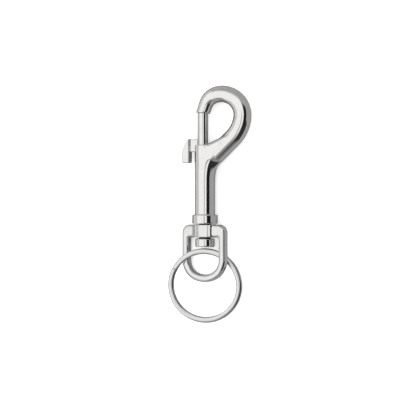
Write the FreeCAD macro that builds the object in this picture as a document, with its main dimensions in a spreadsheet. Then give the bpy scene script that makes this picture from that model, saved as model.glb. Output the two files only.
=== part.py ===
import FreeCAD, Part
import math
import os
import Sketcher

# Swivel bolt snap with a key split ring, millimetres, +Z up.
# Every body is drawn about the barrel's axis: +Y runs up the barrel to the hook,
# y = 0 is the collar's lower face, and the hook lies in the XY plane.
# The Placements then lay the assembly on the floor.

doc = FreeCAD.newDocument("bolt_snap")
os.makedirs("parts", exist_ok=True)
Vector = FreeCAD.Vector

# Driving dimensions
SIZES = {
    # barrel, collar and swivel stem
    "barrel_radius": 4.12,
    "barrel_top": 31.6,
    "rim_round": 0.45,
    "collar_radius": 5.15,
    "collar_length": 3.6,
    "collar_bevel": 0.35,
    "stem_radius": 2.3,
    "head_radius": 3.9,
    "head_length": 3.4,
    "head_bevel": 0.7,
    # hook loop: centre line and bar radii
    "loop_center_x": 7.0,
    "loop_center_y": 43.35,
    "loop_radius": 8.55,
    "arm_curve": 14.1,
    "arm_slope": 46,
    "root_curve": 14.9,
    "root_y": 16.8,
    "tip_curve": 6.2,
    "tip_slope": 20,
    "loop_end_x": 4.14,
    "nose_y": 43.6,
    "arm_bar_radius": 3.75,
    "loop_bar_radius": 3.62,
    "crown_bar_radius": 3.5,
    "top_bar_radius": 3.3,
    "tip_bar_radius": 2.72,
    "fan_depth": 7.5,
    "fan_middle": 4.2,
    "fan_middle_rise": 1.5,
    "fan_reach": 8.4,
    "fan_reach_rise": 3.9,
    "fan_drop": 5.3,
    "fan_foot_reach": 4.9,
    "fan_foot_fall": 0.6,
    "root_bar_radius": 3.97,
    "tip_face": 44.4,
    "tip_trim_depth": 4,
    "lip_reach": 6,
    "lip_drop": 0.5,
    # bolt, thumb lever and their room in the barrel
    "bolt_radius": 2.15,
    "bolt_clearance": 0.08,
    "bolt_offset": 0.85,
    "bolt_foot": 24.6,
    "bolt_travel": 12.5,
    "nose_gap": 0.05,
    "bore_foot": 5.8,
    "web_top": 33.8,
    "web_foot": 28.76,
    "web_thickness": 2.2,
    "web_round": 0.5,
    "slot_clearance": 0.15,
    "tab_inner": 5.95,
    "tab_outer": 9.0,
    "tab_top_width": 0.7,
    "tab_foot": 24.3,
    "tab_curve": 12.9,
    "tab_depth": 4.8,
    "tab_round": 0.5,
    # return spring
    "spring_wire": 0.25,
    "spring_radius": 1.78,
    "spring_turns": 10,
    # swivel eye
    "swivel_gap": 0.3,
    "swivel_clearance": 0.1,
    "head_gap": 0.5,
    "eye_bar": 5.1,
    "eye_leg": 8.76,
    "eye_width": 3.0,
    "eye_depth": 3.7,
    "eye_round": 1.35,
    "eye_corner": 3.2,
    "eye_inner_corner": 0.6,
    "bow_corner": 5.7,
    "bow_radius": 9.5,
    "bow_foot": 20.3,
    "boss_half_width": 5.3,
    "boss_half_depth": 3.9,
    "boss_round": 0.45,
    # split ring
    "ring_radius": 15,
    "ring_width": 2.2,
    "ring_layer": 1.2,
    "ring_edge": 0.3,
    "ring_seam": 0.12,
    "ring_crank": 43,
    "ring_crank_at": 108,
    # how the assembly lies at rest
    "rest_x": -1.84,
    "rest_y": -7.78,
    "axis_height": 5.15,
    "eye_turn": 18,
    "ring_tilt": 5,
    "ring_slope": 6.6,
    "ring_x": -0.46,
    "ring_gap": 0.45,
    "ring_drop": 1.8,
}

sheet = doc.addObject("Spreadsheet::Sheet", "sizes")
for row, (name, value) in enumerate(SIZES.items(), start=1):
    sheet.set("A%d" % row, name)
    sheet.set("B%d" % row, str(value))
    sheet.setAlias("B%d" % row, name)
doc.recompute()


# Helpers
def size(name):
    return float(sheet.get(name))


def cell(text):
    """Turn a formula on size names into one that reads the spreadsheet."""
    words = text.split()
    return " ".join("sizes." + w if w in SIZES else w for w in words)


def new_body(name):
    body = doc.addObject("PartDesign::Body", name)
    body.Label = name
    return body


def origin_plane(body, role):
    for feature in body.Origin.OriginFeatures:
        if getattr(feature, "Role", "") == role:
            return feature
    raise ValueError(role)


def new_sketch(body, name, role="XY_Plane", offset=None):
    sketch = body.newObject("Sketcher::SketchObject", name)
    sketch.AttachmentSupport = [(origin_plane(body, role), "")]
    sketch.MapMode = "FlatFace"
    if offset:
        sketch.setExpression("AttachmentOffset.Base.z", cell(offset))
    doc.recompute()
    return sketch


def name_constraint(sketch, index, name, formula):
    sketch.renameConstraint(index, name)
    sketch.setExpression("Constraints." + name, cell(formula))


def lock_point(sketch, geometry, end, name, x, y):
    """Hold a point of the sketch at x, y from the sketch's origin."""
    here = sketch.getPoint(geometry, end)
    constraint = Sketcher.Constraint("DistanceX", -1, 1, geometry, end, here.x)
    name_constraint(sketch, sketch.addConstraint(constraint), name + "_x", x)
    constraint = Sketcher.Constraint("DistanceY", -1, 1, geometry, end, here.y)
    name_constraint(sketch, sketch.addConstraint(constraint), name + "_y", y)


def arc(center, radius, start, end):
    return Part.ArcOfCircle(Part.Circle(center, Vector(0, 0, 1), radius), start, end)


def draw_polygon(sketch, corners):
    """Closed outline of straight lines through corners given as formulas."""
    count = len(corners)
    first = sketch.GeometryCount
    turn = 2 * math.pi / count
    guess = [Vector(math.cos(k * turn), math.sin(k * turn), 0) * 20 for k in range(count)]
    for k in range(count):
        sketch.addGeometry(Part.LineSegment(guess[k], guess[(k + 1) % count]), False)
    for k in range(count):
        after = first + (k + 1) % count
        sketch.addConstraint(Sketcher.Constraint("Coincident", first + k, 2, after, 1))
        lock_point(sketch, first + k, 1, "corner%d" % (first + k), *corners[k])
    doc.recompute()


def draw_circle(sketch, x, y, radius):
    index = sketch.addGeometry(Part.Circle(Vector(0, 0, 0), Vector(0, 0, 1), 1.0), False)
    lock_point(sketch, index, 3, "center%d" % index, x, y)
    constraint = Sketcher.Constraint("Radius", index, 1.0)
    name_constraint(sketch, sketch.addConstraint(constraint), "radius%d" % index, radius)
    doc.recompute()
    return index


def add_feature(body, kind, name, sketch, **formulas):
    feature = body.newObject("PartDesign::" + kind, name)
    feature.Profile = sketch
    for prop, formula in formulas.items():
        feature.setExpression(prop, cell(formula))
    return feature


def settle(feature, cuts_from=None):
    """Recompute a feature and make sure that it did its work."""
    doc.recompute()
    if "Invalid" in feature.State or "Error" in feature.State or feature.Shape.isNull():
        raise RuntimeError("%s: %s" % (feature.Name, feature.State))
    if cuts_from is not None and feature.Shape.Volume > cuts_from.Shape.Volume - 1e-3:
        raise RuntimeError(feature.Name + " cuts nothing")
    return feature


def turned(body, name, corners, role="XY_Plane"):
    """Solid of revolution about the barrel's axis from a half outline."""
    sketch = new_sketch(body, name + "_outline", role)
    draw_polygon(sketch, corners)
    feature = add_feature(body, "Revolution", name, sketch)
    feature.ReferenceAxis = (sketch, ["V_Axis"])
    feature.Angle = 360
    return settle(feature)


def round_edges(body, name, base, radius, wanted):
    """Fillet the edges of base that the test picks out."""
    edges = ["Edge%d" % (k + 1) for k, edge in enumerate(base.Shape.Edges) if wanted(edge)]
    if not edges:
        raise RuntimeError(name + " finds no edge")
    fillet = body.newObject("PartDesign::Fillet", name)
    fillet.Base = (base, edges)
    fillet.setExpression("Radius", cell(radius))
    return settle(fillet)


def at_height(edge, height, tolerance=1e-4):
    box = edge.BoundBox
    return abs(box.YMin - height) < tolerance and abs(box.YMax - height) < tolerance


# Hook body: barrel, collar, swivel stem and head as one casting
hook_body = new_body("hook_body")
barrel = turned(hook_body, "barrel", [
    ("0", "barrel_top"),
    ("barrel_radius", "barrel_top"),
    ("barrel_radius", "collar_length"),
    ("collar_radius - collar_bevel", "collar_length"),
    ("collar_radius", "collar_length - collar_bevel"),
    ("collar_radius", "collar_bevel"),
    ("collar_radius - collar_bevel", "0"),
    ("stem_radius", "0"),
    ("stem_radius", "- swivel_gap - eye_bar - head_gap"),
    ("head_radius", "- swivel_gap - eye_bar - head_gap"),
    ("head_radius", "- swivel_gap - eye_bar - head_gap - head_length"),
    ("0", "- swivel_gap - eye_bar - head_gap - head_length"),
])
head_foot = -size("swivel_gap") - size("eye_bar") - size("head_gap") - size("head_length")
head_round = round_edges(hook_body, "head_round", barrel, "head_bevel",
                         lambda edge: at_height(edge, head_foot) and edge.Length > 1)
rim = round_edges(hook_body, "rim", head_round, "rim_round",
                  lambda edge: at_height(edge, size("barrel_top")) and edge.Length > 1)

# Hook loop: a tapering round bar along a chain of tangent arcs
# It leaves the barrel's axis, crosses to the right and comes back over the top to the bolt.
spine = new_sketch(hook_body, "spine")
slope = math.radians(size("arm_slope"))
up_arm = Vector(math.sin(slope), math.cos(slope), 0)
left_of_arm = Vector(-math.cos(slope), math.sin(slope), 0)
root_center = Vector(size("root_curve"), size("root_y"), 0)
root_end = root_center + left_of_arm * size("root_curve")
loop_center = Vector(size("loop_center_x"), size("loop_center_y"), 0)
# The arm's arc touches the straight stretch and, from outside, the loop's circle
reach = root_end + left_of_arm * size("arm_curve") - loop_center
along = reach.dot(up_arm)
curve_gap = size("arm_curve") - size("loop_radius")
arm_length = -along - math.sqrt(along ** 2 - reach.Length ** 2 + curve_gap ** 2)
arm_start = root_end + up_arm * arm_length
arm_center = arm_start + left_of_arm * size("arm_curve")
arm_to_loop = loop_center - arm_center
arm_join = math.atan2(arm_to_loop.y, arm_to_loop.x)
tip_start = math.acos((size("loop_end_x") - size("loop_center_x")) / size("loop_radius"))
tip_way = Vector(math.cos(tip_start), math.sin(tip_start), 0)
tip_center = loop_center + tip_way * (size("loop_radius") - size("tip_curve"))
tip_angle = math.pi - math.radians(size("tip_slope"))
tip_turn = tip_center + Vector(math.cos(tip_angle), math.sin(tip_angle), 0) * size("tip_curve")
nose_way = Vector(math.sin(tip_angle), -math.cos(tip_angle), 0) * -1
nose_end = tip_turn + nose_way * ((size("nose_y") - tip_turn.y) / nose_way.y)

ROOT, LINE, ARM, LOOP, TIP, NOSE = range(6)
spine.addGeometry(arc(root_center, size("root_curve"), math.pi - slope, math.pi), False)
spine.addGeometry(Part.LineSegment(root_end, arm_start), False)
spine.addGeometry(arc(arm_center, size("arm_curve"), -slope, arm_join), False)
spine.addGeometry(arc(loop_center, size("loop_radius"), arm_join, tip_start), False)
spine.addGeometry(arc(tip_center, size("tip_curve"), tip_start, tip_angle), False)
spine.addGeometry(Part.LineSegment(tip_turn, nose_end), False)
for link in [(ROOT, 1, LINE, 1), (LINE, 2, ARM, 1), (ARM, 2, LOOP, 1), (LOOP, 2, TIP, 1),
             (TIP, 2, NOSE, 1)]:
    spine.addConstraint(Sketcher.Constraint("Tangent", *link))
for index, name, formula in [(ROOT, "root", "root_curve"), (ARM, "arm", "arm_curve"),
                             (LOOP, "loop", "loop_radius"), (TIP, "tip", "tip_curve")]:
    constraint = Sketcher.Constraint("Radius", index, size(formula))
    name_constraint(spine, spine.addConstraint(constraint), name + "_radius", formula)
lock_point(spine, ROOT, 3, "root_center", "root_curve", "root_y")
lock_point(spine, LOOP, 3, "loop_center", "loop_center_x", "loop_center_y")
constraint = Sketcher.Constraint("DistanceX", -1, 1, LOOP, 2, size("loop_end_x"))
name_constraint(spine, spine.addConstraint(constraint), "loop_end", "loop_end_x")
constraint = Sketcher.Constraint("DistanceY", -1, 1, NOSE, 2, size("nose_y"))
name_constraint(spine, spine.addConstraint(constraint), "nose_end", "nose_y")
spine.addConstraint(Sketcher.Constraint("Horizontal", ROOT, 2, ROOT, 3))
constraint = Sketcher.Constraint("Angle", -2, 1, LINE, 1, -slope)
name_constraint(spine, spine.addConstraint(constraint), "arm_slope", "- arm_slope * 1 deg")
constraint = Sketcher.Constraint("Angle", -2, 1, NOSE, 1, math.pi - math.radians(size("tip_slope")))
name_constraint(spine, spine.addConstraint(constraint), "tip_slope", "( 180 - tip_slope ) * 1 deg")
doc.recompute()


def bar_section(name, edge, along, radius, seam_turn=0):
    """Round section of the hook's bar, square to the spine."""
    sketch = hook_body.newObject("Sketcher::SketchObject", name)
    sketch.AttachmentSupport = [(spine, edge)]
    sketch.MapMode = "NormalToEdge"
    sketch.MapPathParameter = along
    turn = FreeCAD.Rotation(Vector(0, 0, 1), seam_turn)
    sketch.AttachmentOffset = FreeCAD.Placement(Vector(), turn)
    doc.recompute()
    draw_circle(sketch, "0", "0", radius)
    return sketch


# FreeCAD numbers the spine's edges from the tip to the barrel
tip_section = bar_section("tip_section", "Edge1", 1.0, "tip_bar_radius")
top_section = bar_section("top_section", "Edge3", 1.0, "top_bar_radius")
crown_section = bar_section("crown_section", "Edge3", 0.5, "crown_bar_radius")
loop_section = bar_section("loop_section", "Edge3", 0.0, "loop_bar_radius")
arm_section = bar_section("arm_section", "Edge5", 1.0, "arm_bar_radius")
# The root arc bends the other way, so its section is turned to keep the seam on one side
root_section = bar_section("root_section", "Edge6", 1.0, "root_bar_radius", 180)
hook = hook_body.newObject("PartDesign::AdditivePipe", "hook")
hook.Profile = (tip_section, [""])
hook.Spine = (spine, ["Edge%d" % k for k in range(1, 7)])
later_sections = [top_section, crown_section, loop_section, arm_section, root_section]
hook.Sections = [(section, [""]) for section in later_sections]
hook.Transformation = "Multisection"
hook.Mode = "Binormal"
hook.Binormal = Vector(0, 0, 1)
settle(hook)

# Flat fan that fills the crotch between the arm and the barrel's rim
fan_outline = new_sketch(hook_body, "fan_outline")
draw_polygon(fan_outline, [
    ("- bolt_offset", "barrel_top - fan_drop"),
    ("fan_foot_reach", "barrel_top - fan_drop - fan_foot_fall"),
    ("fan_reach", "barrel_top - fan_foot_fall"),
    ("fan_reach", "barrel_top + fan_reach_rise"),
    ("fan_middle", "barrel_top + fan_middle_rise"),
    ("- bolt_offset", "barrel_top - rim_round"),
])
fan = add_feature(hook_body, "Pad", "fan", fan_outline, Length="fan_depth")
fan.SideType = "Symmetric"
settle(fan)

# End face of the hook's tip, with a small lip that backs the bolt
tip_trim_outline = new_sketch(hook_body, "tip_trim_outline")
draw_polygon(tip_trim_outline, [
    ("- 2 * barrel_radius", "tip_face"),
    ("- 2 * barrel_radius", "tip_face - tip_trim_depth"),
    ("lip_reach", "tip_face - tip_trim_depth"),
    ("lip_reach", "tip_face - lip_drop"),
    ("bolt_radius + bolt_clearance - bolt_offset", "tip_face - lip_drop"),
    ("bolt_radius + bolt_clearance - bolt_offset", "tip_face"),
])
tip_trim = add_feature(hook_body, "Pocket", "tip_trim", tip_trim_outline,
                       Length="2 * collar_radius")
tip_trim.SideType = "Symmetric"
settle(tip_trim, cuts_from=fan)

# Bore for the bolt and its spring, open at the rim
bore_outline = new_sketch(hook_body, "bore_outline", "XZ_Plane", "- tip_face")
draw_circle(bore_outline, "- bolt_offset", "0", "bolt_radius + bolt_clearance")
bore = add_feature(hook_body, "Pocket", "bore", bore_outline, Length="tip_face - bore_foot")
bore.Reversed = True
settle(bore, cuts_from=tip_trim)

# Slot in the barrel's left wall for the lever, open at the rim
slot_outline = new_sketch(hook_body, "slot_outline", "YZ_Plane", "- barrel_radius - 1")
draw_polygon(slot_outline, [
    ("barrel_top + 1", "- web_thickness / 2 - slot_clearance"),
    ("barrel_top + 1", "web_thickness / 2 + slot_clearance"),
    ("web_foot - bolt_travel - slot_clearance", "web_thickness / 2 + slot_clearance"),
    ("web_foot - bolt_travel - slot_clearance", "- web_thickness / 2 - slot_clearance"),
])
slot = add_feature(hook_body, "Pocket", "slot", slot_outline,
                   Length="barrel_radius + 1 - bolt_offset")
slot.Reversed = True
settle(slot, cuts_from=bore)

# Bolt with its thumb lever, one piece
thumb_bolt = new_body("thumb_bolt")
shank_outline = new_sketch(thumb_bolt, "shank_outline", "XZ_Plane", "nose_gap - tip_face")
draw_circle(shank_outline, "- bolt_offset", "0", "bolt_radius")
shank = add_feature(thumb_bolt, "Pad", "shank", shank_outline,
                    Length="tip_face - nose_gap - bolt_foot")
settle(shank)
web_outline = new_sketch(thumb_bolt, "web_outline")
draw_polygon(web_outline, [
    ("- bolt_offset", "web_top"),
    ("- tab_inner - tab_top_width / 2", "web_top"),
    ("- tab_inner - tab_top_width / 2", "web_foot"),
    ("- bolt_offset", "web_foot"),
])
web = add_feature(thumb_bolt, "Pad", "web", web_outline, Length="web_thickness")
web.SideType = "Symmetric"
settle(web)


def on_web(edge):
    """The four long edges of the web, between the bolt and the lever."""
    box = edge.BoundBox
    straight = box.YMax - box.YMin < 0.01 and box.ZMax - box.ZMin < 0.01
    return straight and box.XMax - box.XMin > size("web_thickness")


web_rounding = round_edges(thumb_bolt, "web_rounding", web, "web_round", on_web)
tab_outline = new_sketch(thumb_bolt, "tab_outline")
tab_corners = [("- tab_inner", "tab_foot"), ("- tab_inner", "web_top"),
               ("- tab_inner - tab_top_width", "web_top"), ("- tab_outer", "tab_foot")]
tab_guess = [
    Vector(-size("tab_inner"), size("tab_foot"), 0),
    Vector(-size("tab_inner"), size("web_top"), 0),
    Vector(-size("tab_inner") - size("tab_top_width"), size("web_top"), 0),
    Vector(-size("tab_outer"), size("tab_foot"), 0),
]
face_chord = tab_guess[3] - tab_guess[2]
face_rise = math.sqrt(size("tab_curve") ** 2 - face_chord.Length ** 2 / 4)
face_out = Vector(-face_chord.y, face_chord.x, 0) * (1 / face_chord.Length)
face_center = (tab_guess[2] + tab_guess[3]) * 0.5 + face_out * face_rise
face_middle = face_center - face_out * size("tab_curve")
tab_outline.addGeometry(Part.LineSegment(tab_guess[0], tab_guess[1]), False)
tab_outline.addGeometry(Part.LineSegment(tab_guess[1], tab_guess[2]), False)
tab_outline.addGeometry(Part.Arc(tab_guess[2], face_middle, tab_guess[3]), False)
tab_outline.addGeometry(Part.LineSegment(tab_guess[3], tab_guess[0]), False)
face_start = 1 if tab_outline.getPoint(2, 1).distanceToPoint(tab_guess[2]) < 1e-6 else 2
tab_outline.addConstraint(Sketcher.Constraint("Coincident", 0, 2, 1, 1))
tab_outline.addConstraint(Sketcher.Constraint("Coincident", 1, 2, 2, face_start))
tab_outline.addConstraint(Sketcher.Constraint("Coincident", 2, 3 - face_start, 3, 1))
tab_outline.addConstraint(Sketcher.Constraint("Coincident", 3, 2, 0, 1))
for index, end, corner in [(0, 1, 0), (1, 1, 1), (1, 2, 2), (3, 1, 3)]:
    lock_point(tab_outline, index, end, "tab%d" % corner, *tab_corners[corner])
constraint = Sketcher.Constraint("Radius", 2, size("tab_curve"))
name_constraint(tab_outline, tab_outline.addConstraint(constraint), "tab_face", "tab_curve")
tab = add_feature(thumb_bolt, "Pad", "tab", tab_outline, Length="tab_depth")
tab.SideType = "Symmetric"
settle(tab)


def on_tab(edge):
    """The long edges of the lever's outer face and the edge along its foot."""
    box = edge.BoundBox
    outer = box.XMin < -size("tab_inner") - size("tab_top_width")
    flank = outer and box.ZMax - box.ZMin < 0.01 and box.YMax - box.YMin > size("tab_depth")
    foot = at_height(edge, size("tab_foot")) and box.XMax < -size("tab_outer") + 0.01
    return flank or foot


tab_rounding = round_edges(thumb_bolt, "tab_rounding", tab, "tab_round", on_tab)

# Return spring in the bore, between the bore's foot and the bolt
bolt_spring = new_body("bolt_spring")
wire_outline = new_sketch(bolt_spring, "wire_outline")
draw_circle(wire_outline, "spring_radius", "0", "spring_wire")
coil = add_feature(bolt_spring, "AdditiveHelix", "coil", wire_outline, Turns="spring_turns",
                   Height="bolt_foot - bore_foot - 2 * spring_wire - 2 * nose_gap")
coil.ReferenceAxis = (wire_outline, ["V_Axis"])
coil.Mode = "height-turns-angle"
settle(coil)

# Swivel eye: a D-shaped frame with an oval boss bored for the stem
swivel_eye = new_body("swivel_eye")
UPRIGHT, TOP_RIGHT, TOP, TOP_LEFT, DOWNRIGHT, BOW_LEFT, BOW, BOW_RIGHT = range(8)


def draw_frame(sketch, out, corner):
    """Edge of the eye's frame: out = 0 draws the window, out = 1 the outside."""
    width = size("eye_width")
    wide = size("eye_leg") + (out - 0.5) * width
    high = -size("swivel_gap") - (1 - out) * size("eye_bar")
    round_top = size(corner)
    round_bow = size("bow_corner") + out * width
    bow = size("bow_radius") + out * width
    bow_y = size("bow_radius") - size("bow_foot")
    run = wide - round_bow
    side_y = bow_y - math.sqrt((bow - round_bow) ** 2 - run ** 2)
    lean = math.asin(run / (bow - round_bow))
    down = 1.5 * math.pi
    pieces = [
        Part.LineSegment(Vector(wide, side_y, 0), Vector(wide, high - round_top, 0)),
        arc(Vector(wide - round_top, high - round_top, 0), round_top, 0, math.pi / 2),
        Part.LineSegment(Vector(wide - round_top, high, 0), Vector(round_top - wide, high, 0)),
        arc(Vector(round_top - wide, high - round_top, 0), round_top, math.pi / 2, math.pi),
        Part.LineSegment(Vector(-wide, high - round_top, 0), Vector(-wide, side_y, 0)),
        arc(Vector(-run, side_y, 0), round_bow, math.pi, down - lean),
        arc(Vector(0, bow_y, 0), bow, down - lean, down + lean),
        arc(Vector(run, side_y, 0), round_bow, down + lean, 2 * math.pi),
    ]
    for piece in pieces:
        sketch.addGeometry(piece, False)
    for k in range(8):
        sketch.addConstraint(Sketcher.Constraint("Tangent", k, 2, (k + 1) % 8, 1))
    sketch.addConstraint(Sketcher.Constraint("Vertical", UPRIGHT))
    sketch.addConstraint(Sketcher.Constraint("Vertical", DOWNRIGHT))
    bow_corner = "bow_corner + %d * eye_width" % out
    for index, name, formula, value in [
            (TOP_RIGHT, "top_right", corner, round_top),
            (TOP_LEFT, "top_left", corner, round_top),
            (BOW_LEFT, "bow_left", bow_corner, round_bow),
            (BOW_RIGHT, "bow_right", bow_corner, round_bow),
            (BOW, "bow", "bow_radius + %d * eye_width" % out, bow)]:
        constraint = Sketcher.Constraint("Radius", index, value)
        name_constraint(sketch, sketch.addConstraint(constraint), name + "_radius", formula)
    lock_point(sketch, BOW, 3, "bow_center", "0", "bow_radius - bow_foot")
    side = "( eye_leg + %.1f * eye_width - %s )" % (out - 0.5, corner)
    level = "- swivel_gap - %d * eye_bar - %s" % (1 - out, corner)
    lock_point(sketch, TOP_RIGHT, 3, "right_center", side, level)
    lock_point(sketch, TOP_LEFT, 3, "left_center", "-1 * " + side, level)
    doc.recompute()


frame_outline = new_sketch(swivel_eye, "frame_outline")
draw_frame(frame_outline, 1, "eye_corner")
frame = add_feature(swivel_eye, "Pad", "frame", frame_outline, Length="eye_depth")
frame.SideType = "Symmetric"
settle(frame)
window_outline = new_sketch(swivel_eye, "window_outline")
draw_frame(window_outline, 0, "eye_inner_corner")
window = add_feature(swivel_eye, "Pocket", "window", window_outline, Length="2 * eye_depth")
window.SideType = "Symmetric"
settle(window, cuts_from=frame)


def on_frame_face(edge):
    box = edge.BoundBox
    flat = box.ZMax - box.ZMin < 0.01
    return flat and abs(abs(box.ZMin) - size("eye_depth") / 2) < 0.01


frame_rounding = round_edges(swivel_eye, "frame_rounding", window, "eye_round", on_frame_face)


def boss_ellipse(name, depth, inset):
    """Oval outline of the boss, square to the stem at a depth below the collar."""
    sketch = new_sketch(swivel_eye, name, "XZ_Plane", depth)
    wide = size("boss_half_width")
    deep = size("boss_half_depth")
    oval = sketch.addGeometry(Part.Ellipse(Vector(0, 0, 0), wide, deep), False)
    sketch.exposeInternalGeometry(oval)
    sketch.addConstraint(Sketcher.Constraint("Coincident", oval, 3, -1, 1))
    sketch.addConstraint(Sketcher.Constraint("Horizontal", oval + 1))
    for axis, label, length in [(1, "boss_half_width", wide), (2, "boss_half_depth", deep)]:
        constraint = Sketcher.Constraint("Distance", oval + axis, 2 * length)
        name_constraint(sketch, sketch.addConstraint(constraint), label,
                        "2 * %s - 2 * %s" % (label, inset))
    doc.recompute()
    return sketch


boss_sections = [
    boss_ellipse("boss_top", "swivel_gap", "boss_round"),
    boss_ellipse("boss_shoulder", "swivel_gap + boss_round", "0"),
    boss_ellipse("boss_waist", "swivel_gap + eye_bar - boss_round", "0"),
    boss_ellipse("boss_foot", "swivel_gap + eye_bar", "boss_round"),
]
boss = swivel_eye.newObject("PartDesign::AdditiveLoft", "boss")
boss.Profile = boss_sections[0]
boss.Sections = boss_sections[1:]
boss.Ruled = True
settle(boss)
stem_bore_outline = new_sketch(swivel_eye, "stem_bore_outline", "XZ_Plane")
draw_circle(stem_bore_outline, "0", "0", "stem_radius + swivel_clearance")
stem_bore = add_feature(swivel_eye, "Pocket", "stem_bore", stem_bore_outline,
                        Length="swivel_gap + eye_bar + 1")
stem_bore.Reversed = True
settle(stem_bore, cuts_from=boss)

# Split ring: one flat wire wound twice, cranked from the front turn to the rear turn
split_ring = new_body("split_ring")
turns_outline = new_sketch(split_ring, "turns_outline", "XZ_Plane")
draw_polygon(turns_outline, [
    ("ring_radius - ring_edge", "ring_layer"),
    ("ring_radius", "ring_layer - ring_edge"),
    ("ring_radius", "ring_seam"),
    ("ring_radius - ring_seam", "0"),
    ("ring_radius", "- ring_seam"),
    ("ring_radius", "ring_edge - ring_layer"),
    ("ring_radius - ring_edge", "- ring_layer"),
    ("ring_radius - ring_width + ring_edge", "- ring_layer"),
    ("ring_radius - ring_width", "ring_edge - ring_layer"),
    ("ring_radius - ring_width", "- ring_seam"),
    ("ring_radius - ring_width + ring_seam", "0"),
    ("ring_radius - ring_width", "ring_seam"),
    ("ring_radius - ring_width", "ring_layer - ring_edge"),
    ("ring_radius - ring_width + ring_edge", "ring_layer"),
])
turns = add_feature(split_ring, "Revolution", "turns", turns_outline)
turns.ReferenceAxis = (turns_outline, ["V_Axis"])
turns.setExpression("Angle", "360 - sizes.ring_crank")
turns.Reversed = True
settle(turns)
crank_outline = new_sketch(split_ring, "crank_outline", "XZ_Plane")
draw_polygon(crank_outline, [
    ("ring_radius - ring_edge", "ring_layer"),
    ("ring_radius", "ring_layer - ring_edge"),
    ("ring_radius", "ring_seam"),
    ("ring_radius - ring_seam", "0"),
    ("ring_radius - ring_width + ring_seam", "0"),
    ("ring_radius - ring_width", "ring_seam"),
    ("ring_radius - ring_width", "ring_layer - ring_edge"),
    ("ring_radius - ring_width + ring_edge", "ring_layer"),
])
crank = split_ring.newObject("PartDesign::AdditiveHelix", "crank")
crank.Profile = crank_outline
crank.ReferenceAxis = (crank_outline, ["V_Axis"])
crank.Mode = "height-turns-angle"
crank.setExpression("Height", "sizes.ring_layer")
crank.setExpression("Turns", "sizes.ring_crank / 360")
crank.LeftHanded = True
crank.Reversed = True
settle(crank)

# Where each body lies: the hook flat, the eye turned on its stem, the ring tilted in the eye
def placed(x, y, z, rotation="rotation( 0 ; 0 ; 0 )"):
    return "placement( vector( %s ; %s ; %s ) ; %s )" % (x, y, z, rotation)


HEAD_AT = "rest_y - swivel_gap - eye_bar - head_gap - head_length"
PLACES = [
    (hook_body, placed("rest_x", "rest_y", "axis_height")),
    (thumb_bolt, placed("rest_x", "rest_y", "axis_height")),
    (bolt_spring, placed("rest_x - bolt_offset", "rest_y + bore_foot + spring_wire + nose_gap",
                         "axis_height")),
    (swivel_eye, placed("rest_x", "rest_y", "axis_height",
                        "rotation( vector( 0 ; 1 ; 0 ) ; - eye_turn )")),
    (split_ring, placed("rest_x + ring_x", HEAD_AT + " - ring_gap - ring_radius",
                        "axis_height - ring_drop",
                        "rotation( vector( 1 ; 0 ; 0 ) ; ring_slope ) * "
                        "rotation( vector( 0 ; 1 ; 0 ) ; ring_tilt ) * "
                        "rotation( vector( 0 ; 0 ; 1 ) ; ring_crank_at )")),
]
for body, place in PLACES:
    body.setExpression("Placement", cell(place))
doc.recompute()

for body, place in PLACES:
    if "Up-to-date" not in body.State or body.Shape.isNull() or not body.Shape.isValid():
        raise RuntimeError("%s: %s" % (body.Label, body.State))
    if len(body.Shape.Solids) != 1:
        raise RuntimeError(body.Label + " is not one solid")
    body.Shape.exportStep("parts/" + body.Label + ".step")
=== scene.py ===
"""Swivel bolt snap with a key split ring, lying flat, in bright nickel plate.

Sizes are in millimetres in the barrel's own frame: +Y runs up the barrel to the hook, y = 0 is
the collar's lower face and the hook lies in the XY plane. to_row turns such points into the row
frame, in metres, and from_row turns them back.
"""
import math
import bpy
import bmesh
import numpy as np
from mathutils import Matrix, Vector


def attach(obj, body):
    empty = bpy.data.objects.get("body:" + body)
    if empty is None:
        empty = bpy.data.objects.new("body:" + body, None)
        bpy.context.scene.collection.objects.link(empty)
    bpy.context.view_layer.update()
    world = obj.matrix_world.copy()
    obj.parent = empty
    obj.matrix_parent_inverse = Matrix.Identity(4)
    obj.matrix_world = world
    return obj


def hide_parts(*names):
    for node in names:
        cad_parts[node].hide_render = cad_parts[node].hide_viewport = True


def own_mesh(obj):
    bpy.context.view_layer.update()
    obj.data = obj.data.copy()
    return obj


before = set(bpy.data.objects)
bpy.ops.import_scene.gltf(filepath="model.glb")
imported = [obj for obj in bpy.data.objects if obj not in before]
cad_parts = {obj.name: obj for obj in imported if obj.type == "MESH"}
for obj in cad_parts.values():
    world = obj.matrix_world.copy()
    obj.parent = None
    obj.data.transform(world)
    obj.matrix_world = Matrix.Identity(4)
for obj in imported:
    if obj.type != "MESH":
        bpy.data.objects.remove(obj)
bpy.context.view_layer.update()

# Where the barrel's frame lies in the row frame
MM = 0.001
REST = np.array([-1.84, -7.78, 5.15])
EYE_TURN = math.radians(18)

# Edges and fillets that several pieces share
FINE_EDGE = 0.1
RIM_EDGE = 0.35
JOINT_FILLET = 0.35

# Hook body
BARREL_R = 4.12
BARREL_FOOT = 0.5
BARREL_TOP = 31.6
BARREL_EDGE = 0.5
COLLAR_R = 5.15
COLLAR_TOP = 3.6
COLLAR_EDGE = 0.42
STEM_R = 2.3
STEM_SINK = 1
HEAD_R = 3.9
HEAD_TOP = -5.9
HEAD_FOOT = -9.3
HEAD_EDGE = 0.6
NECK_FILLET = 0.4
BORE_R = 2.23
BORE_FOOT = 5.8
BOLT_X = -0.85
SLOT_HALF = 1.25
SLOT_FOOT = 16.11
SLOT_CORNER = 0.3
SLOT_EDGE = 0.5
BORE_END = 40
TIP_FACE = 44.4
TIP_CUT_FOOT = 38
TIP_CUT_CORNER = 0.05
LIP_GAP = 0.08
LIP_DROP = 0.5
LIP_BACK = 5.4

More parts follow.
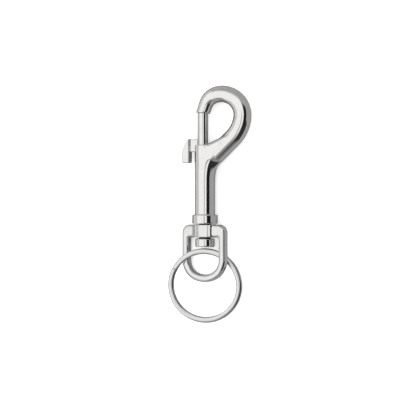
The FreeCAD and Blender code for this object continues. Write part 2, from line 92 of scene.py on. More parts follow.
# Hook's centre line, a chain of tangent arcs, and the bar's radius at each of its joins
ARM_SLOPE = math.radians(46)
ROOT_AT = (14.9, 16.8)
ROOT_R = 14.9
ARM_R = 14.1
LOOP_AT = (7.0, 43.35)
LOOP_R = 8.55
TIP_TURN_X = 4.14
TIP_R = 6.2
TIP_LEAN = math.radians(20)
NOSE_FOOT = 43.0
BAR_R = (2.6, 3.78, 3.75, 3.62, 3.3, 2.85, 2.72)
ARM_FILLET = 1.8

# Flat fan between the barrel and the arm, and the crease along its foot
FAN_HALF = 3.9
FAN_ROUND = 2.0
FAN = [(-0.7, 31.0), (2.0, 32.2), (4.2, 33.1), (6.1, 34.0), (8.6, 35.3), (11.0, 36.0),
       (12.4, 35.4), (8.8, 31.7), (6.5, 29.0), (5.4, 26.2), (4.3, 24.0), (-0.7, 23.0)]
CREASE_AT = (1.6, 26.2)
CREASE_SLOPE = math.radians(-9)
CREASE_EDGE = 0.4

# Slanted flank on the arm's underside below the crease, along the root's arc
FLANK_R = 11.3
FLANK_DEPTH = 3.4
FLANK_RIDGE = 0.9
FLANK_SLOPE = math.radians(40)
FLANK_END_X = 9
FLANK_EDGE = 0.25

# Bolt, lever and spring
BOLT_R = 2.15
BOLT_FOOT = 24.6
BOLT_NOSE = 44.35
BOLT_EDGE = 0.2
WEB_TOP = 33.8
WEB_FOOT = 28.76
WEB_HALF = 1.1
WEB_END_X = -6.4
WEB_EDGE = 0.4
WEB_FILLET = 0.5
TAB_INNER = -5.95
TAB_TOP_X = -6.65
TAB_FOOT_X = -9.0
TAB_FOOT = 24.3
TAB_RISE = 0.25
TAB_CURVE = 12.9
TAB_HALF = 2.4
TAB_EDGE = 0.5
TAB_FILLET = 0.6
SPRING_R = 1.78
SPRING_WIRE_R = 0.25
SPRING_TURNS = 10
SPRING_GAP = 0.05

# Swivel eye
EYE_TOP = -0.3
EYE_BAR = 5.1
EYE_LEG = 8.76
EYE_WIDTH = 3.0
EYE_HALF = 1.85
EYE_ROUND = 1.35
EYE_CORNER = 3.2
WINDOW_CORNER = 0.6
BOW_CORNER = 5.7
BOW_R = 9.5
BOW_FOOT = -20.3
BOSS_HALF_WIDTH = 5.3
BOSS_HALF_DEPTH = 3.9
BOSS_EDGE = 0.45
BOSS_FILLET = 0.25
EYE_BORE_R = 2.4
EYE_BORE_EDGE = 0.3

# Split ring
RING_AT = np.array([-0.46, -24.75, -1.8])
RING_PITCH = 6.6
RING_TILT = 5
RING_CRANK_AT = 108
RING_CRANK = 43
RING_R = 15
RING_WIDTH = 2.2
RING_LAYER = 1.2
RING_GAP = 0.02
RING_STATIONS = 720
RING_END_SIZES = (0.82, 0.95)


# Frames
def from_row(points):
    return points / MM - REST


def to_row(points):
    return (points + REST) * MM


def turn_eye(points, way):
    """Points turned with the eye (way = 1) or back from it (way = -1), round the barrel's axis."""
    c, s = math.cos(EYE_TURN), math.sin(EYE_TURN) * way
    x, y, z = points.T
    return np.stack([x * c - z * s, y, x * s + z * c], axis=1)


def ease(share):
    """Share from 0 to 1 that starts and ends level."""
    return share * share * (3 - 2 * share)


# Distance fields: negative inside, in millimetres
def smooth_min(a, b, k):
    h = np.clip(0.5 + 0.5 * (b - a) / k, 0, 1)
    return b * (1 - h) + a * h - k * h * (1 - h)


def cut(a, b, k):
    """a with b taken away, the new edge rounded by about k / 3."""
    return -smooth_min(-a, b, k)


def rounded_box(offsets, radius):
    """Rounded solid where every offset (distance past a face) is negative."""
    q = np.stack(offsets) + radius
    outside = np.sqrt((np.maximum(q, 0) ** 2).sum(axis=0))
    return outside + np.minimum(q.max(axis=0), 0) - radius


def on_line(x, y, start, end):
    """Distance to a straight line and the share of its length at the nearest point."""
    way = end - start
    t = ((x - start[0]) * way[0] + (y - start[1]) * way[1]) / way.dot(way)
    t = np.clip(t, 0, 1)
    return np.hypot(x - start[0] - t * way[0], y - start[1] - t * way[1]), t


def on_arc(x, y, center, radius, start, end):
    """Distance to an arc that runs from angle start to angle end, and the share of it there."""
    middle = (start + end) / 2
    half = abs(end - start) / 2
    angle = np.arctan2(y - center[1], x - center[0])
    turn = (angle - middle + math.pi) % (2 * math.pi) - math.pi
    turn = np.clip(turn, -half, half)
    near_x = center[0] + radius * np.cos(middle + turn)
    near_y = center[1] + radius * np.sin(middle + turn)
    share = 0.5 + np.sign(end - start) * turn / (2 * half)
    return np.hypot(x - near_x, y - near_y), share


def disc_stack(points, radius, low, high, edge):
    """Round bar on the barrel's axis with rounded rims."""
    x, y, z = points.T
    return rounded_box([np.hypot(x, z) - radius, y - high, low - y], edge)


def hook_line():
    """The hook's centre line in pieces, each with the bar's radius at its two ends."""
    up_arm = np.array([math.sin(ARM_SLOPE), math.cos(ARM_SLOPE)])
    left = np.array([-math.cos(ARM_SLOPE), math.sin(ARM_SLOPE)])
    root_center = np.array(ROOT_AT)
    loop_center = np.array(LOOP_AT)
    root_end = root_center + left * ROOT_R
    reach = root_end + left * ARM_R - loop_center
    along = reach.dot(up_arm)
    length = -along - math.sqrt(along ** 2 - reach.dot(reach) + (ARM_R - LOOP_R) ** 2)
    arm_start = root_end + up_arm * length
    arm_center = arm_start + left * ARM_R
    join = math.atan2(*(loop_center - arm_center)[::-1])
    tip_start = math.acos((TIP_TURN_X - loop_center[0]) / LOOP_R)
    tip_out = np.array([math.cos(tip_start), math.sin(tip_start)])
    tip_center = loop_center + (LOOP_R - TIP_R) * tip_out
    tip_end = math.pi - TIP_LEAN
    nose_start = tip_center + TIP_R * np.array([math.cos(tip_end), math.sin(tip_end)])
    nose = np.array([-math.sin(tip_end), math.cos(tip_end)])
    nose_end = nose_start + nose * ((NOSE_FOOT - nose_start[1]) / nose[1])
    pieces = [
        ("arc", root_center, ROOT_R, math.pi, math.pi - ARM_SLOPE),
        ("line", root_end, arm_start),
        ("arc", arm_center, ARM_R, -ARM_SLOPE, join),
        ("arc", loop_center, LOOP_R, join, tip_start),
        ("arc", tip_center, TIP_R, tip_start, tip_end),
        ("line", nose_start, nose_end),
    ]
    return [(*piece, *radii) for piece, radii in zip(pieces, zip(BAR_R, BAR_R[1:]))]


def hook_bar(points):
    """Tapering round bar along the hook's centre line."""
    x, y, z = points.T
    nearest = np.full(len(points), 1e9)
    for kind, *piece in hook_line():
        start_r, end_r = piece[-2:]
        flat, share = (on_arc if kind == "arc" else on_line)(x, y, *piece[:-2])
        radius = start_r + (end_r - start_r) * share
        nearest = np.minimum(nearest, np.hypot(flat, z) - radius)
    return nearest


def in_polygon(x, y, corners):
    """Signed distance to a closed outline of straight lines."""
    distance = np.full(len(x), 1e9)
    inside = np.zeros(len(x), dtype=bool)
    for start, end in zip(corners, corners[1:] + corners[:1]):
        distance = np.minimum(distance, on_line(x, y, np.array(start), np.array(end))[0])
        crosses = (start[1] > y) != (end[1] > y)
        rise = end[1] - start[1] if end[1] != start[1] else 1e-9
        at = start[0] + (y - start[1]) * (end[0] - start[0]) / rise
        inside ^= crosses & (x < at)
    return np.where(inside, -distance, distance)


def below_flank(x, y, z, above_crease):
    """What is taken off the arm's round underside, to leave a slanted flank below the crease."""
    inward = np.hypot(x - ROOT_AT[0], y - ROOT_AT[1]) - FLANK_R
    slant = inward * math.sin(FLANK_SLOPE) - (np.abs(z) - FLANK_RIDGE) * math.cos(FLANK_SLOPE)
    return rounded_box([slant, inward - FLANK_DEPTH, above_crease, ROOT_AT[1] - y,
                        x - FLANK_END_X], FINE_EDGE)


def uncut_hook_field(points):
    """Hook, fan, barrel, collar, stem and head before anything is bored or cut."""
    x, y, z = points.T
    stem = disc_stack(points, STEM_R, HEAD_FOOT + STEM_SINK, STEM_SINK, FINE_EDGE)
    head = disc_stack(points, HEAD_R, HEAD_FOOT, HEAD_TOP, HEAD_EDGE)
    collar = disc_stack(points, COLLAR_R, 0, COLLAR_TOP, COLLAR_EDGE)
    barrel = disc_stack(points, BARREL_R, BARREL_FOOT, BARREL_TOP, BARREL_EDGE)
    above_crease = ((y - CREASE_AT[1]) * math.cos(CREASE_SLOPE)
                    - (x - CREASE_AT[0]) * math.sin(CREASE_SLOPE))
    fan = rounded_box([in_polygon(x, y, FAN), np.abs(z) - FAN_HALF], FAN_ROUND)
    fan = cut(fan, above_crease, CREASE_EDGE)
    arm = cut(hook_bar(points), below_flank(x, y, z, above_crease), FLANK_EDGE)
    body = smooth_min(barrel, arm, ARM_FILLET)
    body = smooth_min(body, fan, JOINT_FILLET)
    body = smooth_min(body, collar, JOINT_FILLET)
    return smooth_min(body, smooth_min(stem, head, NECK_FILLET), NECK_FILLET)


def hook_body_field(points):
    """The hook's casting with its bore and slot, the tip's face and the lip behind the bolt."""
    x, y, z = points.T
    bore = rounded_box([np.hypot(x - BOLT_X, z) - BORE_R, y - BORE_END, BORE_FOOT - y], FINE_EDGE)
    slot = rounded_box([np.abs(z) - SLOT_HALF, x - BOLT_X, SLOT_FOOT - y, y - BORE_END],
                       SLOT_CORNER)
    tip_cut = rounded_box([y - TIP_FACE, TIP_CUT_FOOT - y, x - BOLT_R - LIP_GAP - BOLT_X],
                          TIP_CUT_CORNER)
    lip_cut = rounded_box([y - TIP_FACE + LIP_DROP, TIP_CUT_FOOT - y, x - LIP_BACK],
                          TIP_CUT_CORNER)
    body = cut(uncut_hook_field(points), bore, RIM_EDGE)
    body = cut(body, slot, SLOT_EDGE)
    body = cut(body, tip_cut, RIM_EDGE)
    return cut(body, lip_cut, RIM_EDGE)


def bolt_field(points):
    """Round bolt, its web and the thumb lever with a curved outer face."""
    x, y, z = points.T
    shank = rounded_box([np.hypot(x - BOLT_X, z) - BOLT_R, y - BOLT_NOSE, BOLT_FOOT - y],
                        BOLT_EDGE)
    web = rounded_box([np.abs(z) - WEB_HALF, y - WEB_TOP, WEB_FOOT - y, x - BOLT_X,
                       WEB_END_X - x], WEB_EDGE)
    top = np.array([TAB_TOP_X, WEB_TOP])
    foot = np.array([TAB_FOOT_X, TAB_FOOT])
    chord = foot - top
    length = math.hypot(*chord)
    inward = np.array([-chord[1], chord[0]]) / length
    center = (top + foot) / 2 + inward * math.sqrt(TAB_CURVE ** 2 - length ** 2 / 4)
    face = np.hypot(x - center[0], y - center[1]) - TAB_CURVE
    tab = rounded_box([face, x - TAB_INNER, y - WEB_TOP - TAB_RISE, TAB_FOOT - y,
                       np.abs(z) - TAB_HALF], TAB_EDGE)
    return smooth_min(smooth_min(tab, web, TAB_FILLET), shank, WEB_FILLET)


def eye_outline(x, y, out, corner):
    """Distance to the frame's edge: out = 0 is the window, out = 1 the outside."""
    wide = EYE_LEG + (out - 0.5) * EYE_WIDTH
    high = EYE_TOP - (1 - out) * EYE_BAR
    round_bow = BOW_CORNER + out * EYE_WIDTH
    bow = BOW_R + out * EYE_WIDTH
    bow_y = BOW_R + BOW_FOOT
    run = wide - round_bow
    side_y = bow_y - math.sqrt((bow - round_bow) ** 2 - run ** 2)
    lean = math.asin(run / (bow - round_bow))
    x = np.abs(x)
    far = [
        on_line(x, y, np.array([wide, side_y]), np.array([wide, high - corner])),
        on_arc(x, y, np.array([wide - corner, high - corner]), corner, 0, math.pi / 2),
        on_line(x, y, np.array([0, high]), np.array([wide - corner, high])),
        on_arc(x, y, np.array([0, bow_y]), bow, -math.pi / 2, lean - math.pi / 2),
        on_arc(x, y, np.array([run, side_y]), round_bow, lean - math.pi / 2, 0),
    ]
    distance = np.min([d for d, share in far], axis=0)
    in_corner = (x < wide - corner) | (y < high - corner)
    in_corner |= np.hypot(x - wide + corner, y - high + corner) < corner
    in_bow = np.hypot(x, y - bow_y) < bow
    past = np.arctan2(side_y - y, x - run) < math.pi / 2 - lean
    in_bow = np.where(past & (y < side_y), np.hypot(x - run, y - side_y) < round_bow, in_bow)
    inside = (x < wide) & (y < high) & in_corner & ((y > side_y) | in_bow)
    return np.where(inside, -distance, distance)


def eye_field(points):
    """The eye's frame with rounded bars, its oval boss and the bore for the stem."""
    x, y, z = turn_eye(points, -1).T
    flat = np.maximum(eye_outline(x, y, 1, EYE_CORNER), -eye_outline(x, y, 0, WINDOW_CORNER))
    frame_bar = rounded_box([flat, np.abs(z) - EYE_HALF], EYE_ROUND)
    near = np.hypot(x / BOSS_HALF_WIDTH, z / BOSS_HALF_DEPTH)
    steep = np.hypot(x / BOSS_HALF_WIDTH ** 2, z / BOSS_HALF_DEPTH ** 2)
    oval = near * (near - 1) / np.maximum(steep, 1e-6)
    boss = rounded_box([oval, y - EYE_TOP, EYE_TOP - EYE_BAR - y], BOSS_EDGE)
    bore = rounded_box([np.hypot(x, z) - EYE_BORE_R, y - 1, EYE_TOP - EYE_BAR - 1 - y], FINE_EDGE)
    return cut(smooth_min(frame_bar, boss, BOSS_FILLET), bore, EYE_BORE_EDGE)


# Meshes
def in_scene(name, data):
    """New object in the scene, at the origin and unturned."""
    piece = bpy.data.objects.new(name, data)
    bpy.context.scene.collection.objects.link(piece)
    return piece


def new_piece(name, verts, faces):
    mesh = bpy.data.meshes.new(name)
    mesh.from_pydata([tuple(v) for v in verts], [], faces)
    mesh.validate()
    mesh.shade_smooth()
    return in_scene(name, mesh)


def evaluated_mesh(piece):
    """Mesh of a piece with its modifiers applied."""
    graph = bpy.context.evaluated_depsgraph_get()
    return bpy.data.meshes.new_from_object(piece.evaluated_get(graph))


def mesh_points(mesh):
    points = np.empty(len(mesh.vertices) * 3)
    mesh.vertices.foreach_get("co", points)
    return points.reshape(-1, 3)


def pull_to_surface(points, field, rounds=4, step=0.02, flattest=0.05, longest=0.3):
    """Move each point along the field's slope until it lies on the surface."""
    for _ in range(rounds):
        value = field(points)
        slope = np.empty_like(points)
        for axis in range(3):
            nudge = np.zeros(3)
            nudge[axis] = step
            slope[:, axis] = (field(points + nudge) - field(points - nudge)) / (2 * step)
        size = np.maximum((slope ** 2).sum(axis=1), flattest)
        points = points - slope * np.clip(value / size, -longest, longest)[:, None]
    return points


def casting(name, node, field, voxel):
    """Even mesh of a solid, drawn onto its own rounded surface, in place of the CAD node."""
    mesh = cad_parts[node].data.copy()
    piece = in_scene(name, mesh)
    merged = bmesh.new()
    merged.from_mesh(mesh)
    bmesh.ops.remove_doubles(merged, verts=merged.verts, dist=1e-6)
    merged.to_mesh(mesh)
    merged.free()
    remesh = piece.modifiers.new("even faces", "REMESH")
    remesh.mode = "VOXEL"
    remesh.voxel_size = voxel * MM
    even = evaluated_mesh(piece)
    piece.modifiers.clear()
    even.materials.clear()
    piece.data = even
    points = pull_to_surface(from_row(mesh_points(even)), field)
    even.vertices.foreach_set("co", to_row(points).ravel())
    even.shade_smooth()
    even.name = name
    return piece


def ring_wire(name):
    """One flat wire wound twice: rear turn, crank, front turn."""
    turn = np.array(Matrix.Rotation(math.radians(RING_PITCH), 3, "X")
                    @ Matrix.Rotation(math.radians(RING_TILT), 3, "Y")
                    @ Matrix.Rotation(math.radians(RING_CRANK_AT), 3, "Z"))
    section = crowned_section(RING_WIDTH / 2, RING_LAYER / 2 - RING_GAP / 2)
    crank = math.radians(RING_CRANK)
    sweep = 2 * (360 - RING_CRANK) + RING_CRANK
    angles = np.radians(360 - np.linspace(0, sweep, RING_STATIONS))
    level = (ease(np.clip((crank - angles) / crank, 0, 1)) - 0.5) * RING_LAYER
    middle = RING_R - RING_WIDTH / 2
    rows = []
    for k in range(RING_STATIONS):
        from_end = min(k, RING_STATIONS - 1 - k)
        size = RING_END_SIZES[from_end] if from_end < len(RING_END_SIZES) else 1.0
        out = np.array([math.cos(angles[k]), math.sin(angles[k]), 0])
        rows.append(out * (middle + section[:, :1] * size)
                    + np.array([0, 0, 1]) * (level[k] + section[:, 1:] * size))
    verts = np.concatenate(rows) @ turn.T + RING_AT
    piece = new_piece(name, to_row(verts), tube_faces(RING_STATIONS, len(section)))
    face_out(piece)
    return piece


def tube_faces(stations, count):
    """Faces of a closed tube with so many stations and so many points round each."""
    faces = [(k * count + i, k * count + (i + 1) % count,
              (k + 1) * count + (i + 1) % count, (k + 1) * count + i)
             for k in range(stations - 1) for i in range(count)]
    faces.append(tuple(range(count - 1, -1, -1)))
    faces.append(tuple((stations - 1) * count + i for i in range(count)))
    return faces


def crowned_section(half_width, half_height, squareness=1.85, steps=32):
    """Outline of flattened wire, crowned on every side, as points going round."""
    points = []
    for k in range(steps):
        c = math.cos(2 * math.pi * k / steps)
        s = math.sin(2 * math.pi * k / steps)
        points.append((half_width * math.copysign(abs(c) ** (2 / squareness), c),
                       half_height * math.copysign(abs(s) ** (2 / squareness), s)))
    return np.array(points)


def face_out(piece):
    sides = bmesh.new()
    sides.from_mesh(piece.data)
    bmesh.ops.recalc_face_normals(sides, faces=sides.faces)
    sides.to_mesh(piece.data)
    sides.free()
    piece.data.shade_smooth()


def coil_tree(material):
    """Geometry nodes for a round-wire coil that stands on its own origin."""
    tree = bpy.data.node_groups.new("coil of round wire", "GeometryNodeTree")
    length = BOLT_FOOT - BORE_FOOT - 2 * SPRING_WIRE_R - 2 * SPRING_GAP
    sizes = {"Turns": SPRING_TURNS, "Coil radius": SPRING_R * MM, "Length": length * MM,
             "Wire radius": SPRING_WIRE_R * MM}
    for label, value in sizes.items():
        socket = tree.interface.new_socket(label, in_out="INPUT", socket_type="NodeSocketFloat")
        socket.default_value = value
    tree.interface.new_socket("Geometry", in_out="OUTPUT", socket_type="NodeSocketGeometry")
    inputs = tree.nodes.new("NodeGroupInput")
    spiral = tree.nodes.new("GeometryNodeCurveSpiral")
    spiral.inputs["Resolution"].default_value = 32
    wire = tree.nodes.new("GeometryNodeCurvePrimitiveCircle")
    wire.inputs["Resolution"].default_value = 12
    sweep = tree.nodes.new("GeometryNodeCurveToMesh")
    sweep.inputs["Fill Caps"].default_value = True
    real = tree.nodes.new("GeometryNodeRealizeInstances")
    paint = tree.nodes.new("GeometryNodeSetMaterial")
    paint.inputs["Material"].default_value = material
    output = tree.nodes.new("NodeGroupOutput")
    link = tree.links.new
    link(inputs.outputs["Turns"], spiral.inputs["Rotations"])
    link(inputs.outputs["Coil radius"], spiral.inputs["Start Radius"])
    link(inputs.outputs["Coil radius"], spiral.inputs["End Radius"])
    link(inputs.outputs["Length"], spiral.inputs["Height"])
    link(inputs.outputs["Wire radius"], wire.inputs["Radius"])
    link(spiral.outputs["Curve"], sweep.inputs["Curve"])
    link(wire.outputs["Curve"], sweep.inputs["Profile Curve"])
    link(sweep.outputs["Mesh"], real.inputs["Geometry"])
    link(real.outputs["Geometry"], paint.inputs["Geometry"])
    link(paint.outputs["Geometry"], output.inputs["Geometry"])
    return tree


def coil_spring(name, material):
    """Return spring in the bore, from the geometry nodes, stood along the barrel."""
    holder = in_scene(name, bpy.data.meshes.new("coil seed"))
    nodes = holder.modifiers.new("coil", "NODES")
    nodes.node_group = coil_tree(material)
    mesh = evaluated_mesh(holder)
    bpy.data.objects.remove(holder)
    foot = to_row(np.array([[BOLT_X, BORE_FOOT + SPRING_WIRE_R + SPRING_GAP, 0]]))[0]
    mesh.transform(Matrix.Translation(Vector(foot)) @ Matrix.Rotation(-math.pi / 2, 4, "X"))
    mesh.shade_smooth()
    return in_scene(name, mesh)


# Finishes
class Finish:
    """A material's node tree with short ways to add and link nodes."""

    def __init__(self, name):
        self.material = bpy.data.materials.new(name)
        self.material.use_nodes = True
        self.tree = self.material.node_tree
        self.shader = self.tree.nodes["Principled BSDF"]
        self.place = self.add("ShaderNodeTexCoord").outputs["Object"]

    def add(self, kind, **inputs):
        node = self.tree.nodes.new(kind)
        for label, value in inputs.items():
            self.put(node, label.replace("_", " "), value)
        return node

    def put(self, node, label, value):
        if isinstance(value, bpy.types.NodeSocket):
            self.tree.links.new(value, node.inputs[label])
        else:
            node.inputs[label].default_value = value

    def noise(self, scale, detail=3.0, rough=0.5, stretch=(1, 1, 1)):
        mapping = self.add("ShaderNodeMapping", Vector=self.place, Scale=stretch)
        node = self.add("ShaderNodeTexNoise", Vector=mapping.outputs["Vector"], Scale=scale,
                        Detail=detail, Roughness=rough)
        return node.outputs["Fac"]

    def band(self, value, low, high, to_low, to_high):
        node = self.add("ShaderNodeMapRange", Value=value, From_Min=low, From_Max=high,
                        To_Min=to_low, To_Max=to_high)
        return node.outputs["Result"]

    def ramp(self, value, *stops):
        node = self.add("ShaderNodeValToRGB", Fac=value)
        ends = node.color_ramp.elements
        for k, (at, color) in enumerate(stops):
            element = ends[k] if k < 2 else ends.new(at)
            element.position = at
            element.color = (*color, 1)
        return node.outputs["Color"]

    def bump(self, height, strength, distance, below=None):
        node = self.add("ShaderNodeBump", Height=height, Strength=strength, Distance=distance)
        if below is not None:
            self.put(node, "Normal", below)
        return node.outputs["Normal"]


# Painted shade: near-black base colour where the gaps between the eye, head and collar fall in
# shadow
PAINTED_GAP_SHADE = (0.02, 0.02, 0.02, 1)


def paint_gap_shade(f, color, low, high):
    """Colour with painted gap shade, near black, between two heights along the barrel: it stands
    for the shadow in the gaps by the eye's boss.
    """
    height = f.add("ShaderNodeSeparateXYZ", Vector=f.place).outputs["Y"]
    share = f.band(height, (low + REST[1]) * MM, (high + REST[1]) * MM, 0, 1)
    unshaded, dark = (0, 0, 0), (1, 1, 1)
    painted_shade_band = f.ramp(share, (0, unshaded), (0.01, dark), (0.98, dark), (1, unshaded))
    mix = f.add("ShaderNodeMixRGB", Fac=painted_shade_band, Color1=color, Color2=PAINTED_GAP_SHADE)
    return mix.outputs["Color"]


def bright_nickel(name, tint, rough, waves, scratch_stretch, painted_shade_band=None):
    """Bright plating over a polished casting: faint waves, fine wiping marks and a little haze."""
    f = Finish(name)
    haze = f.noise(260, detail=4, rough=0.6)
    darker = tuple(c * 0.94 for c in tint)
    color = f.ramp(haze, (0.3, darker), (0.7, tint))
    # Painted shade: the optional band turns the base colour near black between two heights
    if painted_shade_band:
        color = paint_gap_shade(f, color, *painted_shade_band)
    f.put(f.shader, "Base Color", color)
    f.shader.inputs["Metallic"].default_value = 1.0
    scratches = f.noise(900, detail=2, rough=0.7, stretch=scratch_stretch)
    f.put(f.shader, "Roughness", f.band(scratches, 0.35, 0.75, rough, rough + 0.07))
    soft = f.bump(f.noise(95, detail=2, rough=0.4), waves, 0.0006)
    f.put(f.shader, "Normal", f.bump(scratches, 0.02, 0.0001, soft))
    return f.material


def spring_steel(name):
    """Drawn wire: darker, with marks along its length."""
    f = Finish(name)
    tone = f.noise(420, detail=4, rough=0.65)
    dark, bright = (0.30, 0.30, 0.31), (0.46, 0.46, 0.47)
    f.put(f.shader, "Base Color", f.ramp(tone, (0.3, dark), (0.7, bright)))
    f.shader.inputs["Metallic"].default_value = 1.0
    f.put(f.shader, "Roughness", f.band(tone, 0.3, 0.7, 0.22, 0.36))
    f.put(f.shader, "Normal", f.bump(tone, 0.05, 0.0001))
    return f.material


def paint(piece, material, slot_name):
    piece.data.materials.clear()
    piece.data.materials.append(material)


# Stage, in metres, and the photograph's centre in the barrel's frame, in millimetres
WHITE = (1, 1, 1, 1)
VIEW_TILT = math.radians(16)
PHOTO_SPAN = 0.160
PHOTO_CENTER_UP = 9.52
PHOTO_CENTER_RIGHT = -1.96
CAMERA_DISTANCE = 1.1
SENSOR = 36
FLOOR_HALF = 3.0
SHEET_HALF = 0.5
SHEET_LIFT = 2e-5
SHEET_GREY = 0.30
WORLD_LEVEL = 0.75
BAND_LEVEL = 0.012


def view_axes():
    """Camera's right and back directions in the row frame."""
    right = Vector((math.cos(VIEW_TILT), 0, -math.sin(VIEW_TILT)))
    back = Vector((math.sin(VIEW_TILT), 0, math.cos(VIEW_TILT)))
    return right, back


def add_camera():
    right, back = view_axes()
    center = Vector((REST[0], REST[1] + PHOTO_CENTER_UP, REST[2])) * MM
    target = center + right * (PHOTO_CENTER_RIGHT * MM)
    data = bpy.data.cameras.new("camera")
    data.sensor_width = SENSOR
    data.lens = SENSOR * CAMERA_DISTANCE / PHOTO_SPAN
    data.clip_start = 0.05
    data.clip_end = 20
    camera = in_scene("camera", data)
    camera.matrix_world = Matrix((right, Vector((0, 1, 0)), back)).transposed().to_4x4()
    camera.location = target + back * CAMERA_DISTANCE
    bpy.context.scene.camera = camera


def seen_white(tree, light):
    """The world's light, which camera, glossy and clear rays see as plain white."""
    path = tree.nodes.new("ShaderNodeLightPath")
    first = tree.nodes.new("ShaderNodeMath")
    first.operation = "MAXIMUM"
    second = tree.nodes.new("ShaderNodeMath")
    second.operation = "MAXIMUM"
    glow = tree.nodes.new("ShaderNodeBackground")
    glow.inputs["Color"].default_value = WHITE
    mix = tree.nodes.new("ShaderNodeMixShader")
    link = tree.links.new
    link(path.outputs["Is Camera Ray"], first.inputs[0])
    link(path.outputs["Is Glossy Ray"], first.inputs[1])
    link(first.outputs[0], second.inputs[0])
    link(path.outputs["Is Transmission Ray"], second.inputs[1])
    link(second.outputs[0], mix.inputs["Fac"])
    link(light, mix.inputs[1])
    link(glow.outputs[0], mix.inputs[2])
    return mix.outputs[0]


def flat_square(name, half, height):
    corners = [(-half, -half, height), (half, -half, height), (half, half, height),
               (-half, half, height)]
    return new_piece(name, corners, [(0, 1, 2, 3)])


def add_floor():
    """Plain pale floor that keeps the snap's shadow and fades to white."""
    floor = flat_square("floor", FLOOR_HALF, 0)
    material = bpy.data.materials.new("pale floor")
    material.use_nodes = True
    shader = material.node_tree.nodes["Principled BSDF"]
    shader.inputs["Base Color"].default_value = WHITE
    shader.inputs["Roughness"].default_value = 0.9
    shader.inputs["Emission Color"].default_value = WHITE
    shader.inputs["Emission Strength"].default_value = 0.4
    floor.data.materials.append(material)


def add_world():
    world = bpy.data.worlds.new("white studio")
    bpy.context.scene.world = world
    world.use_nodes = True
    tree = world.node_tree
    back = tree.nodes["Background"]
    back.inputs["Color"].default_value = WHITE
    back.inputs["Strength"].default_value = WORLD_LEVEL
    surface = seen_white(tree, back.outputs[0])
    tree.links.new(surface, tree.nodes["World Output"].inputs["Surface"])


def card_finish(name, kind):
    """Material of one plain shader, and that shader."""
    material = bpy.data.materials.new(name)
    material.use_nodes = True
    tree = material.node_tree
    shader = tree.nodes.new(kind)
    tree.links.new(shader.outputs[0], tree.nodes["Material Output"].inputs["Surface"])
    return material, shader


def only_reflected(card):
    """Only glossy rays meet a studio card: it gives the plating something to reflect."""
    card.visible_camera = False
    card.visible_diffuse = False
    card.visible_shadow = False
    card.visible_transmission = False


def soft_step(value, start, end):
    return ease(np.clip((value - start) / (end - start), 0, 1))


def grey_edges(across, along):
    """White before the camera, grey towards the dome's sides, ends and corners."""
    level = 1 - 0.64 * soft_step(across, 50, 62)
    level -= 0.45 * soft_step(-across, 64, 86)
    head_end = soft_step(along, 26, 58)
    foot_end = soft_step(-along, 38, 62)
    foot_corner = soft_step(across, -32, 2) * soft_step(-along, 8, 30)
    head_corner = soft_step(across, 12, 19) * soft_step(along, 26, 46)
    thin_line = soft_step(across, -13, -9) * (1 - soft_step(across, -4, -1.5))
    thin_line *= 1 - soft_step(along, 5, 16)
    for share, depth in ((head_end, 0.62), (foot_end, 0.75), (foot_corner, 0.78),
                         (head_corner, 0.62), (thin_line, 0.60)):
        level = np.minimum(level, 1 - depth * share)
    return level


def dome_level(across, along):
    """Glow at an angle right of the camera's line and one up the barrel, both in degrees."""
    foot_side = soft_step(-along, 3, 22)
    band = soft_step(across, 12 - 6 * foot_side, 19)
    band *= 1 - soft_step(across - 34 * foot_side, 50, 59)
    band *= (1 - soft_step(along, 24, 46)) * (1 - soft_step(-along, 42, 52))
    haze = soft_step(-along, 22, 36) * (1 - soft_step(across, 14, 26))
    low = BAND_LEVEL + 0.02 * foot_side + 0.12 * haze
    level = grey_edges(across, along)
    return level + (low - level) * band


def add_dome(radius=0.5, rings=60, spokes=144):
    """Dome over the snap, white before the camera, with a dark band and grey edges to reflect."""
    right, back = view_axes()
    steps = np.radians(np.linspace(-90, 90, rings + 1))
    turns = np.radians(np.linspace(-100, 100, spokes + 1))
    across, along = np.meshgrid(turns, steps)
    ahead = np.cos(along)[..., None] * (np.sin(across)[..., None] * np.array(right)
                                        + np.cos(across)[..., None] * np.array(back))
    verts = radius * (ahead + np.sin(along)[..., None] * np.array([0, 1, 0])).reshape(-1, 3)
    row = spokes + 1
    faces = [(j * row + i, j * row + i + 1, (j + 1) * row + i + 1, (j + 1) * row + i)
             for j in range(rings) for i in range(spokes)]
    dome = new_piece("studio dome", verts, faces)
    glow = dome.data.attributes.new("glow", "FLOAT", "POINT")
    glow.data.foreach_set("value", dome_level(np.degrees(across), np.degrees(along)).ravel())
    material, shader = card_finish("dome glow", "ShaderNodeEmission")
    shader.inputs["Color"].default_value = WHITE
    reader = material.node_tree.nodes.new("ShaderNodeAttribute")
    reader.attribute_name = "glow"
    material.node_tree.links.new(reader.outputs["Fac"], shader.inputs["Strength"])
    dome.data.materials.append(material)
    only_reflected(dome)


def add_grey_sheet():
    """Grey sheet on the floor, in the studio's light and shadow, that only the plating reflects."""
    sheet = flat_square("grey sheet", SHEET_HALF, SHEET_LIFT)
    material, shader = card_finish("grey sheet", "ShaderNodeBsdfDiffuse")
    shader.inputs["Color"].default_value = (SHEET_GREY, SHEET_GREY, SHEET_GREY, 1)
    sheet.data.materials.append(material)
    only_reflected(sheet)


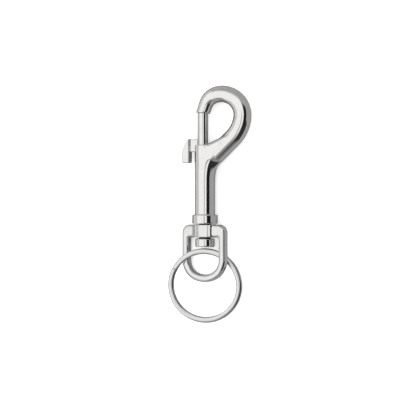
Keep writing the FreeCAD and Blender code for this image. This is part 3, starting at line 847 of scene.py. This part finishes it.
def add_lamp(name, place, size, energy):
    data = bpy.data.lights.new(name, "AREA")
    data.shape = "SQUARE"
    data.size = size
    data.energy = energy
    lamp = in_scene(name, data)
    lamp.location = place
    lamp.rotation_euler = Vector(place).to_track_quat("Z", "Y").to_euler()
    lamp.visible_glossy = False


def build_snap():
    # The casting's plating carries painted gap shade from the head's top to just below the collar
    hook_plate = bright_nickel("bright nickel on casting", (0.88, 0.87, 0.86), rough=0.07,
                               waves=0.10, scratch_stretch=(1, 0.12, 1), painted_shade_band=(HEAD_TOP, -0.1))
    bolt_plate = bright_nickel("bright nickel on bolt", (0.87, 0.865, 0.855), rough=0.09,
                               waves=0.05, scratch_stretch=(1, 0.06, 1))
    eye_plate = bright_nickel("bright nickel on eye", (0.86, 0.855, 0.85), rough=0.09,
                              waves=0.14, scratch_stretch=(1, 1, 1))
    ring_plate = bright_nickel("nickel on spring wire", (0.80, 0.80, 0.80), rough=0.12,
                               waves=0.05, scratch_stretch=(1, 1, 0.2))
    wire = spring_steel("drawn spring wire")
    voxel = 0.24

    hook = casting("hook_casting", "hook_body", hook_body_field, voxel)
    paint(hook, hook_plate, "plated_casting")
    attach(hook, "snap")
    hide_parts("hook_body")

    bolt = casting("bolt_and_lever", "thumb_bolt", bolt_field, voxel * 0.8)
    paint(bolt, bolt_plate, "plated_bolt")
    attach(bolt, "bolt")
    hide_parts("thumb_bolt")

    eye = casting("eye_casting", "swivel_eye", eye_field, voxel * 0.8)
    paint(eye, eye_plate, "plated_eye")
    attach(eye, "eye")
    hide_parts("swivel_eye")

    ring = ring_wire("ring_wire")
    paint(ring, ring_plate, "plated_ring")
    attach(ring, "ring")
    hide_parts("split_ring")

    coil = coil_spring("coil_wire", wire)
    paint(coil, wire, "spring_steel")
    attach(coil, "snap")
    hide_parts("bolt_spring")
    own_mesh(coil)


def build_stage():
    bpy.context.scene.view_settings.view_transform = "Standard"
    add_world()
    add_floor()
    add_dome()
    add_grey_sheet()
    add_lamp("key light", place=(-0.25, 0.2, 1.2), size=2.0, energy=16)
    add_camera()


build_snap()
build_stage()
